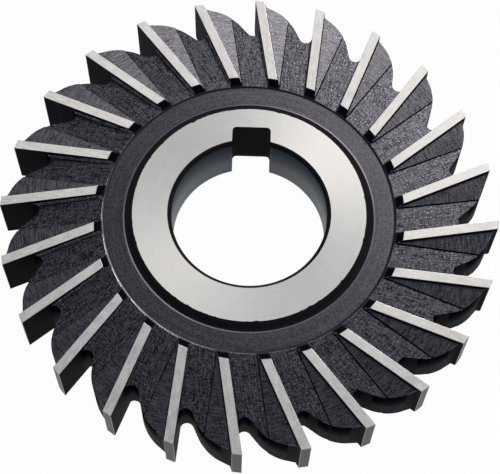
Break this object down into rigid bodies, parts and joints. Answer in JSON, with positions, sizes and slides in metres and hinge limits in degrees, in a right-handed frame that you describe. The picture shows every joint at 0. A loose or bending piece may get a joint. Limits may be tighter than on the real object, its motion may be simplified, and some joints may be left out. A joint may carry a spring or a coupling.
{
  "type": "side milling cutter",
  "caption": "Disc milling cutter with straight ground teeth on its rim and on its side faces, and a keyed bore that fits an arbor.",
  "frame": {"origin": "centre of the bore, half way through the disc", "axes": "+Z along the bore axis, +Y from the bore's centre towards the keyway"},
  "size_m": [0.1016, 0.1016, 0.0132],
  "materials": {
    "tool_steel": "black oxide, with the lands, hub faces and bore ground bright"
  },
  "bodies": {
    "root": {"side_milling_cutter": "tool_steel"}
  },
  "joints": []
}
